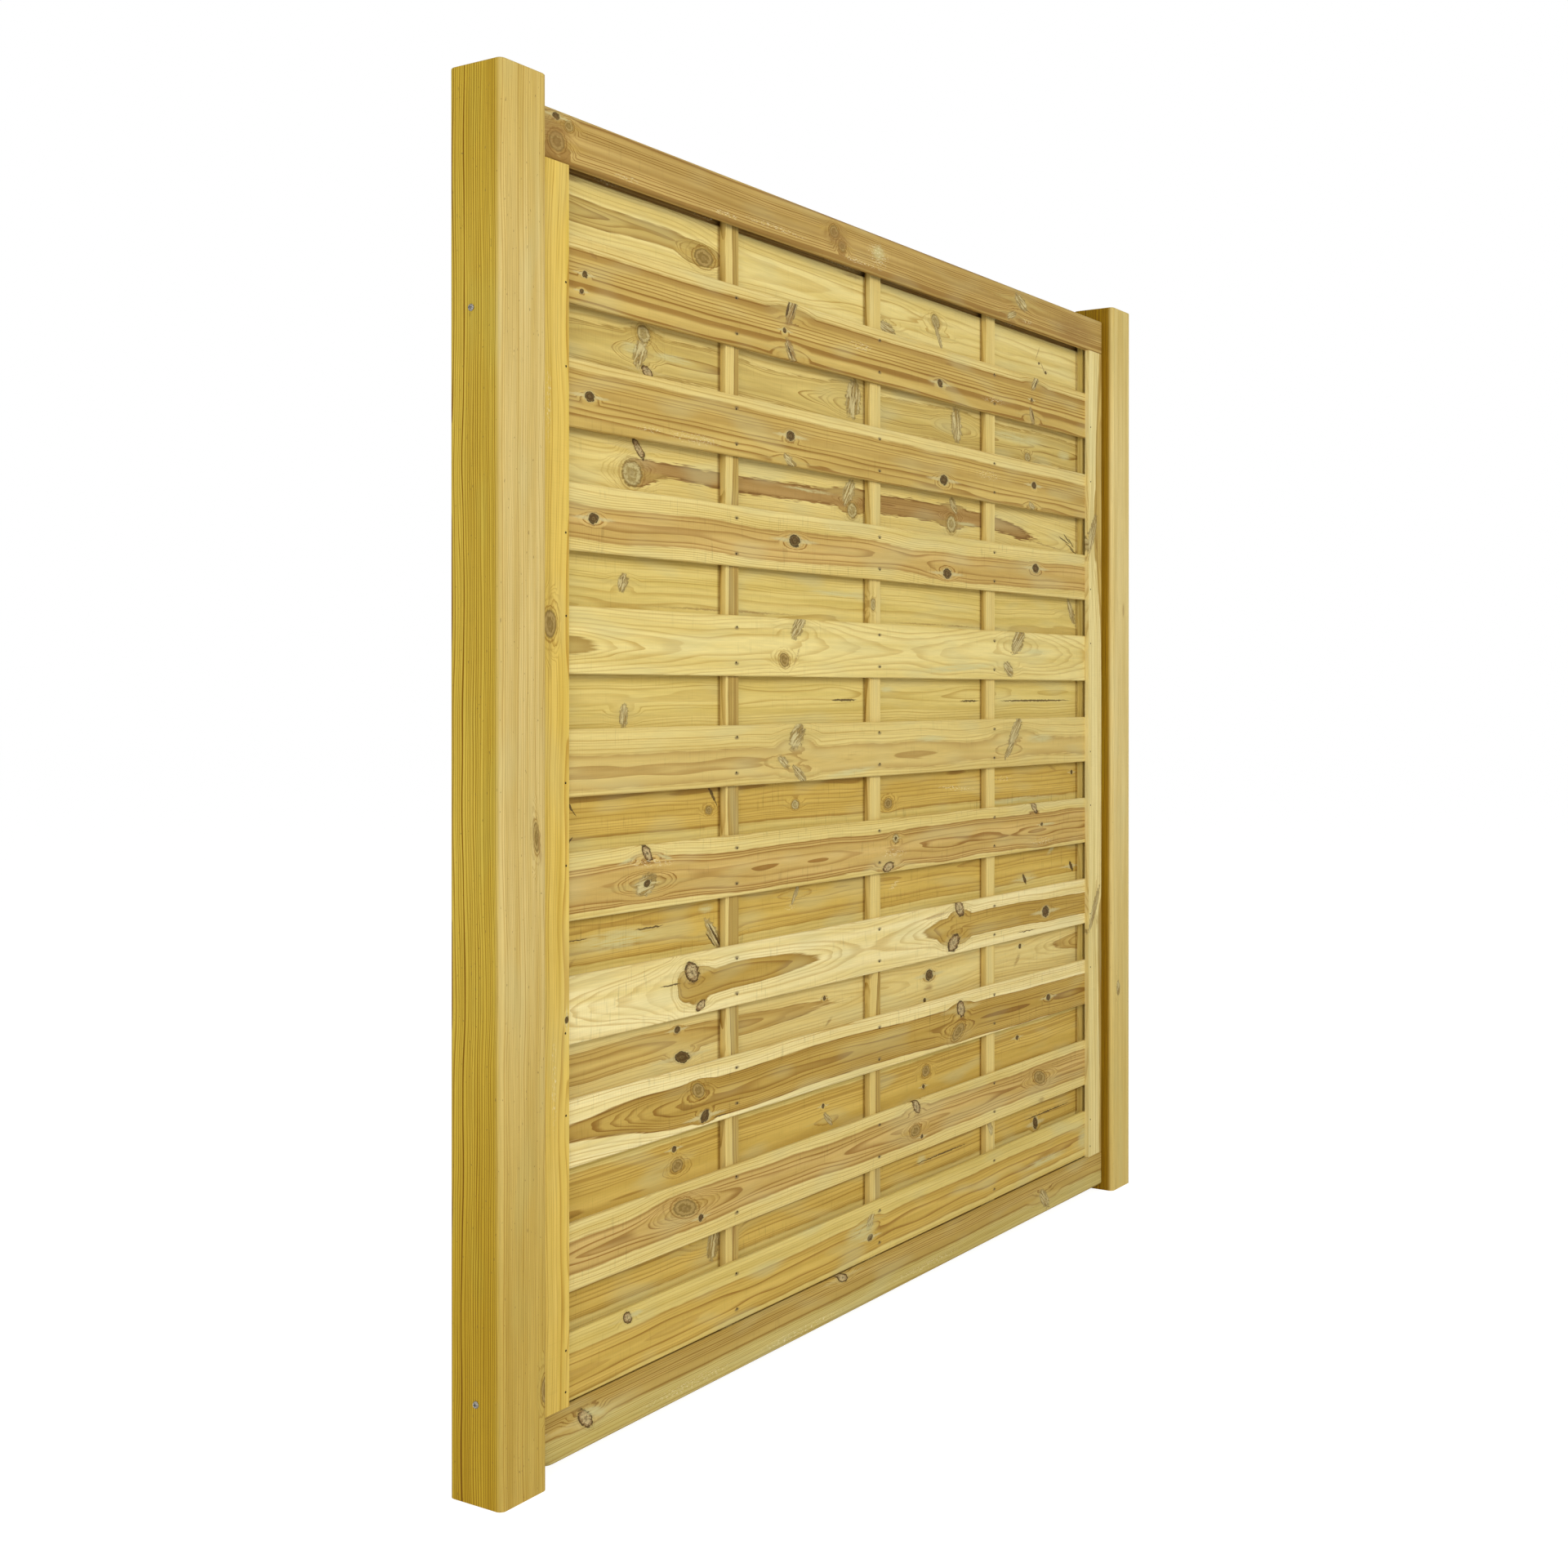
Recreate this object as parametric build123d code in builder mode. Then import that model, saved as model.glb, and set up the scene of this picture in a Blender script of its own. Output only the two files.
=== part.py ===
"""Closed slat fence panel: a grooved timber frame, two layers of slats and two square posts.

The panel stands across X with its front towards -Y. The origin is on the ground, midway between
the posts and midway through their thickness. All lengths are in millimetres.
"""
import os

from build123d import *

# Frame of the panel
panel_width = 1800.0
panel_height = 1800.0
frame_thickness = 45.0
frame_face = 70.0
groove_depth = 20.0
tenon_shoulder = 15.0
outer_edge_radius = 9.0
inner_edge_radius = 4.0
corner_radius = 25.0
worn_corner_radius = 40.0

# Slats, in two layers that close each other's gaps
slats_per_layer = 10
slat_height = 92.0
slat_thickness = 8.0
slat_edge_chamfer = 1.5
slat_end_clearance = 1.0
first_overlap = 3.0
rail_entry = 1.0
sill_gap = 1.0
last_step_loss = 20.0

# Battens between the two layers
middle_battens = 3
batten_width = 34.0
batten_thickness = 12.0
batten_edge_chamfer = 1.0
batten_end_clearance = 1.0
end_batten_width = 15.0

# Posts
post_size = 90.0
post_arris_radius = 9.0
post_top_chamfer = 1.5
post_rise = 28.0
ground_gap = 12.0

# Screws through the posts into the stiles
upper_screw_drop = 284.0
lower_screw_rise = 117.0
upper_screw_setback = 50.5
lower_screw_setback = 43.0
screw_head_radius = 4.7
screw_head_height = 2.6
screw_crown_radius = 3.4
screw_rim_height = 1.0
screw_shank_radius = 2.5
screw_shank_clearance = 0.2
screw_bite = 35.0
screw_point = 6.0
recess_width = 1.2
recess_span = 5.0
recess_depth = 1.6

# Levels and places that follow from the sizes
panel_bottom = ground_gap
panel_top = panel_bottom + panel_height
opening_bottom = panel_bottom + frame_face
opening_top = panel_top - frame_face
opening_height = opening_top - opening_bottom
groove_width = 2 * slat_thickness + batten_thickness
panel_side = panel_width / 2
opening_side = panel_side - frame_face
groove_side = opening_side + groove_depth
tenon_side = panel_side - tenon_shoulder
slat_offset = (batten_thickness + slat_thickness) / 2
slat_length = 2 * (groove_side - slat_end_clearance)
batten_reach = groove_depth - batten_end_clearance
batten_spacing = 2 * groove_side / (middle_battens + 1)
post_height = panel_top + post_rise
post_outer = panel_side + post_size
screw_hole_radius = screw_shank_radius + screw_shank_clearance
screw_length = post_size + screw_bite
screw_places = [
    (upper_screw_setback - post_size / 2, panel_top - upper_screw_drop),
    (lower_screw_setback - post_size / 2, panel_bottom + lower_screw_rise),
]

# Slat levels: even steps down the panel, and a shorter last step onto the bottom rail
first_back_level = opening_top + rail_entry - slat_height / 2
first_front_level = first_back_level - slat_height + first_overlap
last_front_level = opening_bottom + sill_gap + slat_height / 2
front_step = (first_front_level - last_front_level + last_step_loss) / (slats_per_layer - 1)
front_levels = [first_front_level - front_step * place for place in range(slats_per_layer - 1)]
front_levels.append(last_front_level)
back_levels = [first_back_level]
for upper_level, lower_level in zip(front_levels, front_levels[1:]):
    back_levels.append((upper_level + lower_level) / 2)


def write(piece, name):
    """Name a finished piece and write it to its own file."""
    piece.part.label = name
    export_step(piece.part, f"parts/{name}.step")


def make_rail(name, inner_level, outer_level, left_radius, right_radius):
    """Make a full-width rail with rounded outer corners and a stopped groove in its inner face."""
    inner, outer = (0, -1) if inner_level < outer_level else (-1, 0)
    into_rail = 1 if inner_level < outer_level else -1
    with BuildPart() as rail:
        with BuildSketch(Plane.XZ) as elevation:
            with Locations((0, (inner_level + outer_level) / 2)):
                Rectangle(panel_width, frame_face)
            corners = elevation.vertices().group_by(Axis.Y)[outer].sort_by(Axis.X)
            fillet(corners[0], radius=left_radius)
            fillet(corners[1], radius=right_radius)
        extrude(amount=frame_thickness / 2, both=True)
        outlines = rail.faces().filter_by(Axis.Y).edges()
        fillet(outlines - outlines.group_by(Axis.Z)[inner], radius=outer_edge_radius)
        inner_arrises = rail.edges().filter_by(Axis.X).group_by(Axis.Z)[inner]
        fillet(inner_arrises, radius=inner_edge_radius)
        with BuildSketch(Plane.XY.offset(inner_level)):
            Rectangle(2 * tenon_side, groove_width)
        extrude(amount=into_rail * groove_depth, mode=Mode.SUBTRACT)
    write(rail, name)


def make_stile(name, side):
    """Make an upright with a groove along its inner face and a stub tenon at each end."""
    inner, outer = (0, -1) if side > 0 else (-1, 0)
    with BuildPart() as stile:
        with BuildSketch(Plane.XY.offset(opening_bottom)) as section:
            with Locations((side * (opening_side + panel_side) / 2, 0)):
                Rectangle(frame_face, frame_thickness)
            arrises = section.vertices().group_by(Axis.X)
            fillet(arrises[outer], radius=outer_edge_radius)
            fillet(arrises[inner], radius=inner_edge_radius)
            with Locations((side * (opening_side + groove_side) / 2, 0)):
                Rectangle(groove_depth, groove_width, mode=Mode.SUBTRACT)
        extrude(amount=opening_height)
        with BuildSketch(Plane.XY.offset(opening_bottom - groove_depth)):
            with Locations((side * (groove_side + tenon_side) / 2, 0)):
                Rectangle(tenon_side - groove_side, groove_width)
        extrude(amount=opening_height + 2 * groove_depth)
        with BuildSketch(Plane.YZ.offset(side * panel_side)):
            with Locations(*screw_places):
                Circle(screw_hole_radius)
        extrude(amount=-side * screw_bite, mode=Mode.SUBTRACT)
    write(stile, name)


def make_slat(name, level, layer):
    """Make one slat with eased edges; layer is -1 for the front and 1 for the back."""
    with BuildPart() as slat:
        with BuildSketch(Plane.YZ) as section:
            with Locations((layer * slat_offset, level)):
                Rectangle(slat_thickness, slat_height)
            chamfer(section.vertices(), length=slat_edge_chamfer)
        extrude(amount=slat_length / 2, both=True)
    write(slat, name)


def make_batten(name, centre, width):
    """Make an upright batten that reaches into the grooves of both rails."""
    with BuildPart() as batten:
        with BuildSketch(Plane.XY.offset(opening_bottom - batten_reach)) as section:
            with Locations((centre, 0)):
                Rectangle(width, batten_thickness)
            chamfer(section.vertices(), length=batten_edge_chamfer)
        extrude(amount=opening_height + 2 * batten_reach)
    write(batten, name)


def make_post(name, side):
    """Make a square post with rounded arrises, an eased sawn top and holes for its screws."""
    with BuildPart() as post:
        with BuildSketch() as section:
            with Locations((side * (panel_side + post_outer) / 2, 0)):
                Rectangle(post_size, post_size)
            fillet(section.vertices(), radius=post_arris_radius)
        extrude(amount=post_height)
        chamfer(post.faces().sort_by(Axis.Z)[-1].edges(), length=post_top_chamfer)
        with BuildSketch(Plane.YZ.offset(side * post_outer)):
            with Locations(*screw_places):
                Circle(screw_hole_radius)
        extrude(amount=-side * post_size, mode=Mode.SUBTRACT)
    write(post, name)


def make_post_screws(name):
    """Make the screws that hold the posts: a bevelled head with a cross recess, shank and point."""
    with BuildPart() as screws:
        for side in (-1, 1):
            for setback, level in screw_places:
                seat = Vector(side * post_outer, setback, level)
                crown = seat + Vector(side * screw_head_height, 0, 0)
                with BuildSketch(Plane(origin=seat, x_dir=(0, 1, 0), z_dir=(0, 0, side))):
                    with BuildLine():
                        Polyline(
                            (0, -screw_head_height),
                            (screw_crown_radius, -screw_head_height),
                            (screw_head_radius, -screw_rim_height),
                            (screw_head_radius, 0),
                            (screw_shank_radius, 0),
                            (screw_shank_radius, screw_length - screw_point),
                            (0, screw_length),
                            close=True,
                        )
                    make_face()
                revolve(axis=Axis(seat, (1, 0, 0)))
                with BuildSketch(Plane(origin=crown, z_dir=(side, 0, 0))):
                    Rectangle(recess_width, recess_span)
                    Rectangle(recess_span, recess_width)
                extrude(amount=-recess_depth, mode=Mode.SUBTRACT)
    write(screws, name)


os.makedirs("parts", exist_ok=True)
make_rail("top_rail", opening_top, panel_top, corner_radius, corner_radius)
make_rail("bottom_rail", opening_bottom, panel_bottom, worn_corner_radius, corner_radius)
for side_name, side in (("left", -1), ("right", 1)):
    make_stile(f"{side_name}_stile", side)
    make_post(f"{side_name}_post", side)
    end_batten_centre = side * (groove_side - end_batten_width / 2)
    make_batten(f"{side_name}_end_batten", end_batten_centre, end_batten_width)
for place in range(middle_battens):
    make_batten(f"middle_batten_{place + 1}", (place + 1) * batten_spacing - groove_side, batten_width)
for place in range(slats_per_layer):
    make_slat(f"front_slat_{place + 1:02d}", front_levels[place], -1)
    make_slat(f"back_slat_{place + 1:02d}", back_levels[place], 1)
make_post_screws("post_screws")
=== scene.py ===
"""Looks of a closed slat fence panel: pine boards, sunk brads, post screws and a plain studio."""

import logging
import math
from dataclasses import dataclass, replace
from enum import Enum
from functools import cache, partial
from typing import Any, Optional, Sequence, Union

import bpy
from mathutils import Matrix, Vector

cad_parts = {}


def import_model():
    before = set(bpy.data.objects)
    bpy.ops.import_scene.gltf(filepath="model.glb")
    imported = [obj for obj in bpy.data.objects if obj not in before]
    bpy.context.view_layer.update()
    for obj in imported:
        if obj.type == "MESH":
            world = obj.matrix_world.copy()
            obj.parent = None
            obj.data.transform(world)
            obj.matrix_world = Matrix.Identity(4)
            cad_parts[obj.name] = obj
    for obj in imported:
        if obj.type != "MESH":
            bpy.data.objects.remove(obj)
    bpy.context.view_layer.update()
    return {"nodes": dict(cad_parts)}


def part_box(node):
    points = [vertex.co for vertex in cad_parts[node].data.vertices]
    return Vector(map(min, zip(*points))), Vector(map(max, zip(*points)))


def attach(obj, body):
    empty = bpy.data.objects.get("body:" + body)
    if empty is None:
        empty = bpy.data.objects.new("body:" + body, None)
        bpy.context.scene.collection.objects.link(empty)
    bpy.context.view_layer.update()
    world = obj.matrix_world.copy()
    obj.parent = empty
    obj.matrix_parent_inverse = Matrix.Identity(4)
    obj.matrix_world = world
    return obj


LOG = logging.getLogger("fence_panel")
MM = 1000.0
Colour = tuple[float, float, float]
Triple = tuple[float, float, float]
Number = Union[int, float, "Field"]


class Field:
    """A value that varies over a surface: one output socket of a node tree."""

    def __init__(self, recipe: "Recipe", socket: bpy.types.NodeSocket) -> None:
        """Keep the recipe that owns the socket, and the socket."""
        self.recipe = recipe
        self.socket = socket

    def _math(self, operation: str, *values: Number) -> "Field":
        """Add a Math node over the given values, in order."""
        return self.recipe.node("ShaderNodeMath", {"operation": operation}, dict(enumerate(values)))

    def __add__(self, other: Number) -> "Field":
        """Sum of two values."""
        return self._math("ADD", self, other)

    def __sub__(self, other: Number) -> "Field":
        """Difference of two values."""
        return self._math("SUBTRACT", self, other)

    def __rsub__(self, other: Number) -> "Field":
        """Difference of a number and this value."""
        return self._math("SUBTRACT", other, self)

    def __mul__(self, other: Number) -> "Field":
        """Product of two values."""
        return self._math("MULTIPLY", self, other)

    def __truediv__(self, other: Number) -> "Field":
        """Quotient of two values."""
        return self._math("DIVIDE", self, other)

    def root(self) -> "Field":
        """Square root of this value."""
        return self._math("SQRT", self)

    def size(self) -> "Field":
        """This value without its sign."""
        return self._math("ABSOLUTE", self)

    def sine(self) -> "Field":
        """Sine of this value."""
        return self._math("SINE", self)

    def fraction(self) -> "Field":
        """Part of this value after the point."""
        return self._math("FRACT", self)

    def whole(self) -> "Field":
        """Whole part of this value."""
        return self._math("FLOOR", self)

    def least(self, other: Number) -> "Field":
        """Smaller of two values."""
        return self._math("MINIMUM", self, other)

    def ease(self, start: Number, end: Number, height: float = 1.0) -> "Field":
        """Rise softly from nought at start to height at end; start may lie above end."""
        inputs = {0: self, 1: start, 2: end, 3: 0.0, 4: height}
        return self.recipe.node("ShaderNodeMapRange", {"interpolation_type": "SMOOTHSTEP"}, inputs)


class Recipe:
    """The nodes of one material, of a shared group, or of the surround."""

    def __init__(self, owner: Union[bpy.types.Material, bpy.types.World, bpy.types.NodeTree]) -> None:
        """Start with an empty node tree.

        Args:
            owner: what the nodes belong to.
        """
        self.owner = owner
        self.tree = owner
        if not isinstance(owner, bpy.types.NodeTree):
            owner.use_nodes = True
            self.tree = owner.node_tree
        self.tree.nodes.clear()

    def node(
        self, kind: str, settings: dict[str, Any], inputs: dict[Any, Any], output: Any = 0
    ) -> Optional[Field]:
        """Add one node.

        Args:
            kind: the node's type.
            settings: the node's own settings, set first; points are those of a curve.
            inputs: socket values or links, by the socket's name or number.
            output: name or number of the output that is wanted.

        Returns:
            The wanted output, or nothing from a node without outputs.
        """
        made = self.tree.nodes.new(kind)
        for key, value in settings.items():
            if key == "points":
                bend(made.mapping, value)
            else:
                setattr(made, key, value)
        for key, value in inputs.items():
            socket = made.inputs[key]
            if isinstance(value, Field):
                self.tree.links.new(value.socket, socket)
            elif socket.type == "RGBA":
                socket.default_value = (*value, 1.0)
            else:
                socket.default_value = value
        return Field(self, made.outputs[output]) if made.outputs else None

    def mix(self, amount: Number, low: Any, high: Any, blend: str = "MIX") -> Field:
        """Blend two colours by an amount from nought to one."""
        settings = {"data_type": "RGBA", "blend_type": blend, "clamp_factor": True}
        return self.node("ShaderNodeMix", settings, {0: amount, 6: low, 7: high}, 2)

    def vector(self, operation: str, *vectors: Any) -> Field:
        """Work on two or three vectors."""
        return self.node("ShaderNodeVectorMath", {"operation": operation}, dict(enumerate(vectors)))

    def dot(self, place: Field, way: Field) -> Field:
        """How far a place lies along a direction."""
        return self.node("ShaderNodeVectorMath", {"operation": "DOT_PRODUCT"}, {0: place, 1: way}, "Value")

    def scaled(self, colour: Field, amount: Field) -> Field:
        """Make a colour lighter or darker by a factor."""
        settings = {"operation": "SCALE"}
        return self.node("ShaderNodeVectorMath", settings, {0: colour, "Scale": amount})

    def joined(self, *values: Number) -> Field:
        """Make a vector of up to three values."""
        return self.node("ShaderNodeCombineXYZ", {}, dict(enumerate(values)))

    def parts(self, vector: Field) -> tuple[Field, ...]:
        """The three values of a vector."""
        first = self.node("ShaderNodeSeparateXYZ", {}, {0: vector})
        return tuple(Field(self, socket) for socket in first.socket.node.outputs)

    def noise(self, place: Field, grain: Triple, detail: float = 1.0, output: str = "Fac") -> Field:
        """Soft random variation.

        Args:
            place: place on the piece in millimetres.
            grain: size of the variation each way, in millimetres.
            detail: how many finer layers are added.
            output: Fac for one value, Color for three.

        Returns:
            The variation, about a half on average.
        """
        fine = self.vector("DIVIDE", place, grain)
        inputs = {"Vector": fine, "Scale": 1.0, "Detail": detail, "Roughness": 0.55}
        return self.node("ShaderNodeTexNoise", {"noise_dimensions": "3D"}, inputs, output)

    def run(self, value: Field, detail: float = 0.0) -> Field:
        """Soft random variation along one value."""
        inputs = {"W": value, "Scale": 1.0, "Detail": detail}
        return self.node("ShaderNodeTexNoise", {"noise_dimensions": "1D"}, inputs, "Fac")

    def curve(self, value: Field, points: Sequence[tuple[float, float]]) -> Field:
        """Smooth curve through given points, both ways from nought to one."""
        return self.node("ShaderNodeFloatCurve", {"points": points}, {"Value": value})

    def finish(self, surface: Field) -> bpy.types.Material:
        """Join a shader to the material's output, which gives the finished material."""
        self.node("ShaderNodeOutputMaterial", {}, {"Surface": surface})
        return self.owner


def bend(mapping: bpy.types.CurveMapping, points: Sequence[tuple[float, float]]) -> None:
    """Lay a curve through points.

    Args:
        mapping: the curve's settings, as new.
        points: the points, from left to right.
    """
    line = mapping.curves[0]
    line.points[0].location = points[0]
    line.points[-1].location = points[-1]
    for point in points[1:-1]:
        line.points.new(*point)
    for point in line.points:
        point.handle_type = "AUTO_CLAMPED"
    mapping.update()


class MarkKind(Enum):
    """What a mark on a board is."""

    DARK = "dead, dark knot"
    RINGED = "sound knot with rings"
    PALE = "pale knot in a brown ring"
    BARK = "crackled knot in a bark ring"
    SPIKE = "knot cut lengthwise"
    SPLIT = "drying split"
    FLECK = "pale resin flecks"
    STAIN = "brown smear"
    GREEN = "grey-green preservative"


@dataclass(frozen=True)
class Mark:
    """One mark on a board's face, in millimetres: its place along and across, its size and turn."""

    kind: MarkKind
    along: float
    across: float
    length: float
    width: float
    turn: float = 0.0

    def spread(self, longer: float, wider: float) -> "Mark":
        """A larger mark about the same middle, without a turn."""
        return replace(self, length=self.length * longer, width=self.width * wider, turn=0.0)

    def ways(self) -> tuple[Vector, Vector]:
        """Directions that measure a place within the mark, one at its outline.

        Returns:
            The ways along and across the mark; their last number holds its place.
        """
        turn = math.radians(self.turn)
        long_way = Vector((math.cos(turn), math.sin(turn), 0.0)) / (self.length / 2)
        wide_way = Vector((-math.sin(turn), math.cos(turn), 0.0)) / (self.width / 2)
        for way in (long_way, wide_way):
            way.z = -(way.x * self.along + way.y * self.across)
        return long_way, wide_way


dark, ringed, pale, bark, spike, split, fleck, stain, green = (partial(Mark, kind) for kind in MarkKind)


@dataclass(frozen=True)
class KnotFinish:
    """Look of one kind of knot: its colours, and how strongly each of its features shows."""

    core: Colour
    light: Colour
    rim: Colour
    halo: Colour
    halo_strength: float
    rings: float
    cracks: float
    rim_strength: float
    swirl: float
    bulge: float
    ragged: float
    streaked: bool = False


KNOT_FINISHES = {
    MarkKind.DARK: KnotFinish(
        (0.100, 0.058, 0.016), (0.200, 0.132, 0.044), (0.030, 0.015, 0.004), (0.58, 0.490, 0.225),
        halo_strength=0.8, rings=7.0, cracks=0.3, rim_strength=0.85, swirl=0.3, bulge=0.45, ragged=0.3,
    ),
    MarkKind.RINGED: KnotFinish(
        (0.250, 0.160, 0.040), (0.400, 0.275, 0.085), (0.130, 0.072, 0.014), (0.45, 0.290, 0.060),
        halo_strength=0.45, rings=9.0, cracks=0.2, rim_strength=0.5, swirl=0.8, bulge=0.55, ragged=0.15,
    ),
    MarkKind.PALE: KnotFinish(
        (0.350, 0.262, 0.090), (0.510, 0.418, 0.180), (0.180, 0.105, 0.022), (0.45, 0.310, 0.075),
        halo_strength=0.5, rings=9.0, cracks=0.4, rim_strength=0.7, swirl=0.5, bulge=0.25, ragged=0.25,
    ),
    MarkKind.BARK: KnotFinish(
        (0.250, 0.138, 0.048), (0.510, 0.395, 0.185), (0.050, 0.025, 0.005), (0.60, 0.480, 0.190),
        halo_strength=0.5, rings=3.0, cracks=0.65, rim_strength=0.9, swirl=0.25, bulge=0.32, ragged=0.45,
    ),
    MarkKind.SPIKE: KnotFinish(
        (0.330, 0.225, 0.065), (0.590, 0.495, 0.235), (0.120, 0.070, 0.018), (0.52, 0.400, 0.130),
        halo_strength=0.45, rings=0.0, cracks=0.75, rim_strength=0.4, swirl=0.0, bulge=0.22, ragged=0.9,
        streaked=True,
    ),
}
HALO_REACHES = ((1.9, 1.5), (5.5, 0.5))


class GroupRecipe(Recipe):
    """Nodes that many materials share."""

    def __init__(self, name: str, inputs: dict[str, str], output: str) -> None:
        """Start a group with its sockets.

        Args:
            name: the group's name.
            inputs: the kind of each input, by name.
            output: the kind of its one output.
        """
        group = bpy.data.node_groups.new(name, "ShaderNodeTree")
        super().__init__(group)
        for title, kind in inputs.items():
            group.interface.new_socket(title, in_out="INPUT", socket_type=f"NodeSocket{kind}")
        group.interface.new_socket("Result", in_out="OUTPUT", socket_type=f"NodeSocket{output}")

    def given(self, name: str) -> Field:
        """What a user of the group puts into one input."""
        return self.node("NodeGroupInput", {}, {}, name)

    def close(self, result: Field) -> bpy.types.NodeTree:
        """Join the result to the group's output, which gives the finished group."""
        self.node("NodeGroupOutput", {}, {"Result": result})
        return self.owner


@cache
def spot_group() -> bpy.types.NodeTree:
    """Squared distance from the middle of a mark, one at its outline.

    Returns:
        The group.
    """
    recipe = GroupRecipe("spot", {"Place": "Vector", "Long": "Vector", "Wide": "Vector"}, "Float")
    along = recipe.dot(recipe.given("Place"), recipe.given("Long"))
    across = recipe.dot(recipe.given("Place"), recipe.given("Wide"))
    return recipe.close(along * along + across * across)


@cache
def knot_group(kind: MarkKind) -> bpy.types.NodeTree:
    """Nodes that draw one knot over the wood: its halo, swirl, core, cracks and rim.

    Args:
        kind: the kind of knot.

    Returns:
        The group.
    """
    look = KNOT_FINISHES[kind]
    ways = dict.fromkeys(("Place", "Chance", "Long", "Wide", "Level", "Upright"), "Vector")
    recipe = GroupRecipe(kind.value, {"Wood": "Color", "Seed": "Float", **ways}, "Color")
    wood, place = recipe.given("Wood"), recipe.given("Place")
    along, across, level, upward = (recipe.dot(place, recipe.given(way)) for way in list(ways)[2:])
    first, second, third = recipe.parts(recipe.given("Chance"))
    away = (along * along + across * across).root() + (first - 0.5) * look.ragged
    level, upward = level * level, upward * upward
    near, tail = (level * (longer ** -2) + upward * (wider ** -2) for longer, wider in HALO_REACHES)
    wood = recipe.mix(near.least(tail).ease(1.0, 0.15, look.halo_strength), wood, look.halo)
    if look.swirl:
        swirl = (away * 10.0 + second * 2.0).sine().ease(0.3, 1.0, look.swirl)
        wood = recipe.mix(swirl * away.ease(2.4, 1.1), wood, HEART_LINE, "MULTIPLY")
    if look.streaked:
        veins = recipe.joined(along * 0.7 + recipe.given("Seed"), across * 4.0)
        inputs = {"Vector": veins, "Scale": 1.0, "Detail": 1.0}
        tone = recipe.node("ShaderNodeTexNoise", {"noise_dimensions": "2D"}, inputs)
        crack = (tone - 0.44).size()
    else:
        tone = (away * look.rings + second * 2.0).sine() * 0.25 + second
        crack = (third - 0.5).size()
    core = recipe.mix(tone.ease(0.3, 0.7), look.core, look.light)
    core = recipe.mix(crack.ease(0.05, 0.01, look.cracks), core, look.rim)
    wood = recipe.mix(away.ease(1.05 + look.ragged / 4, 0.95 - look.ragged / 4), wood, core)
    rim = away.ease(0.74, 0.97) * away.ease(1.2, 1.02)
    wood = recipe.mix(rim * second.ease(0.28, 0.5, look.rim_strength), wood, look.rim)
    if not look.streaked:
        wood = recipe.mix(away.ease(0.3, 0.12, 0.45), wood, look.rim)
    return recipe.close(wood)


@dataclass(frozen=True)
class SmearFinish:
    """Look of a mark without a form of its own: its colour, soft edge and strength."""

    colour: Colour
    edge: float
    full: float
    strength: float


SMEAR_FINISHES = {
    MarkKind.STAIN: SmearFinish((0.26, 0.14, 0.04), 1.1, 0.3, 0.6),
    MarkKind.GREEN: SmearFinish((0.56, 0.51, 0.24), 1.1, 0.3, 0.75),
    MarkKind.FLECK: SmearFinish((0.75, 0.66, 0.38), 1.1, 0.4, 0.75),
    MarkKind.SPLIT: SmearFinish((0.085, 0.050, 0.018), 1.0, 0.7, 0.9),
}


@dataclass(frozen=True)
class Tone:
    """Colours of one stick of timber: its pale outer wood and its brown heart."""

    sap_light: Colour
    sap_deep: Colour
    heart_light: Colour
    heart_deep: Colour


STRAW = Tone((0.765, 0.630, 0.248), (0.675, 0.525, 0.170), (0.56, 0.415, 0.125), (0.46, 0.325, 0.085))
BUTTER = Tone((0.700, 0.555, 0.200), (0.620, 0.470, 0.150), (0.66, 0.500, 0.170), (0.59, 0.430, 0.135))
HONEY = Tone((0.720, 0.580, 0.225), (0.640, 0.480, 0.155), (0.60, 0.430, 0.125), (0.50, 0.335, 0.085))
TAN = Tone((0.735, 0.595, 0.230), (0.655, 0.505, 0.160), (0.62, 0.430, 0.140), (0.52, 0.345, 0.095))
CHESTNUT = Tone((0.830, 0.705, 0.345), (0.740, 0.595, 0.235), (0.53, 0.358, 0.082), (0.43, 0.272, 0.052))
OLIVE = Tone((0.695, 0.550, 0.178), (0.605, 0.460, 0.125), (0.63, 0.438, 0.102), (0.53, 0.352, 0.070))
MOSS = Tone((0.720, 0.585, 0.220), (0.640, 0.490, 0.155), (0.63, 0.485, 0.152), (0.53, 0.390, 0.108))
OCHRE = Tone((0.700, 0.500, 0.110), (0.600, 0.410, 0.070), (0.58, 0.390, 0.080), (0.48, 0.310, 0.055))
CREAM = Tone((0.800, 0.680, 0.310), (0.710, 0.570, 0.215), (0.60, 0.430, 0.120), (0.50, 0.350, 0.090))
RAIL_BROWN = Tone((0.560, 0.425, 0.150), (0.500, 0.360, 0.105), (0.54, 0.370, 0.115), (0.43, 0.280, 0.075))
SILL_BROWN = Tone((0.580, 0.472, 0.162), (0.505, 0.395, 0.114), (0.54, 0.380, 0.105), (0.44, 0.295, 0.070))
POST_CREAM = Tone((0.730, 0.590, 0.250), (0.640, 0.490, 0.175), (0.58, 0.420, 0.130), (0.50, 0.340, 0.095))
POST_PALE = Tone((0.640, 0.492, 0.186), (0.555, 0.405, 0.124), (0.55, 0.385, 0.110), (0.47, 0.315, 0.085))
BAND_RED = Tone((0.730, 0.585, 0.210), (0.640, 0.485, 0.145), (0.44, 0.275, 0.088), (0.34, 0.200, 0.055))
BATTEN_TWO = Tone((0.720, 0.565, 0.205), (0.650, 0.495, 0.160), (0.49, 0.340, 0.095), (0.42, 0.285, 0.072))

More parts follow.
